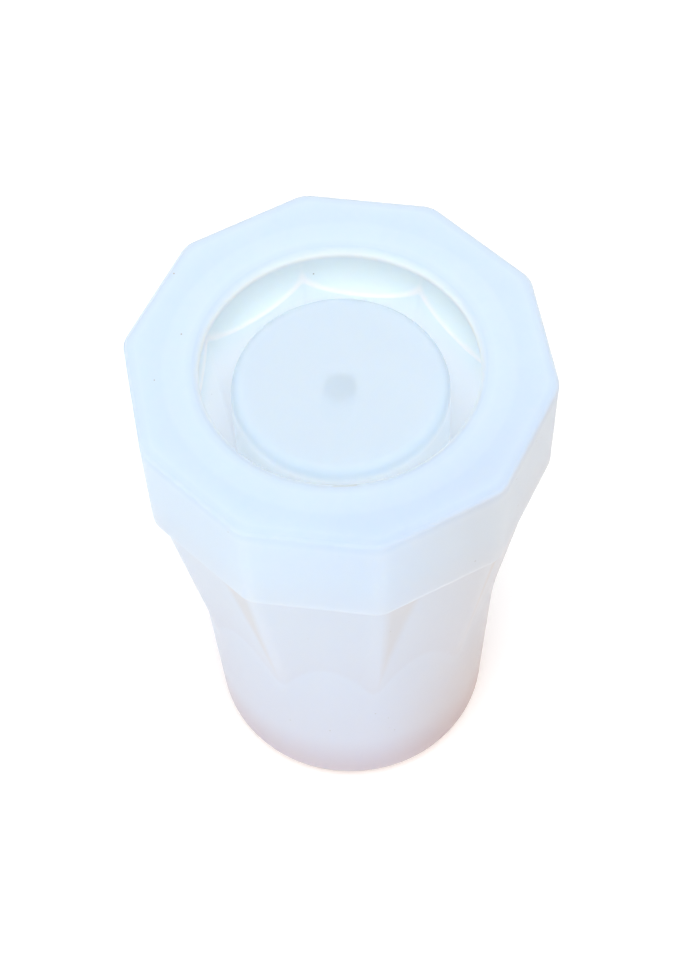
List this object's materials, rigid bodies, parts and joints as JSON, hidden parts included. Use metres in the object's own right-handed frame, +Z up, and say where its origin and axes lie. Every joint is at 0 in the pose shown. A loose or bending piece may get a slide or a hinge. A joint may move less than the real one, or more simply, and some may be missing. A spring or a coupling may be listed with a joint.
{
  "type": "candle mold",
  "caption": "Flexible mold for a faceted candle cup: many-sided collar, ridged waist, round mouth, and a loose round core held upright on a stiff rod.",
  "frame": {"origin": "middle of the flat base that the mold stands on", "axes": "+Z up, out of the mouth, along the core and the rod; X through a corner of the collar, Y through a flat of it"},
  "size_m": [0.0894, 0.0856, 0.128],
  "materials": {
    "outer_silicone": "milky translucent silicone, satin",
    "core_silicone": "milky translucent silicone, satin",
    "rod_plastic": "matte moulded plastic"
  },
  "bodies": {
    "mold": {"mold_body": "outer_silicone"},
    "rod": {"core_rod": "rod_plastic"},
    "core": {"core_plug": "core_silicone"}
  },
  "joints": [
    {"name": "rod_lift", "type": "slide", "parent": "mold", "child": "rod", "axis": [0, 0, 1], "range_m": [0, 0.128]},
    {"name": "core_lift", "type": "slide", "parent": "rod", "child": "core", "axis": [0, 0, 1], "range_m": [0, 0.117]}
  ]
}
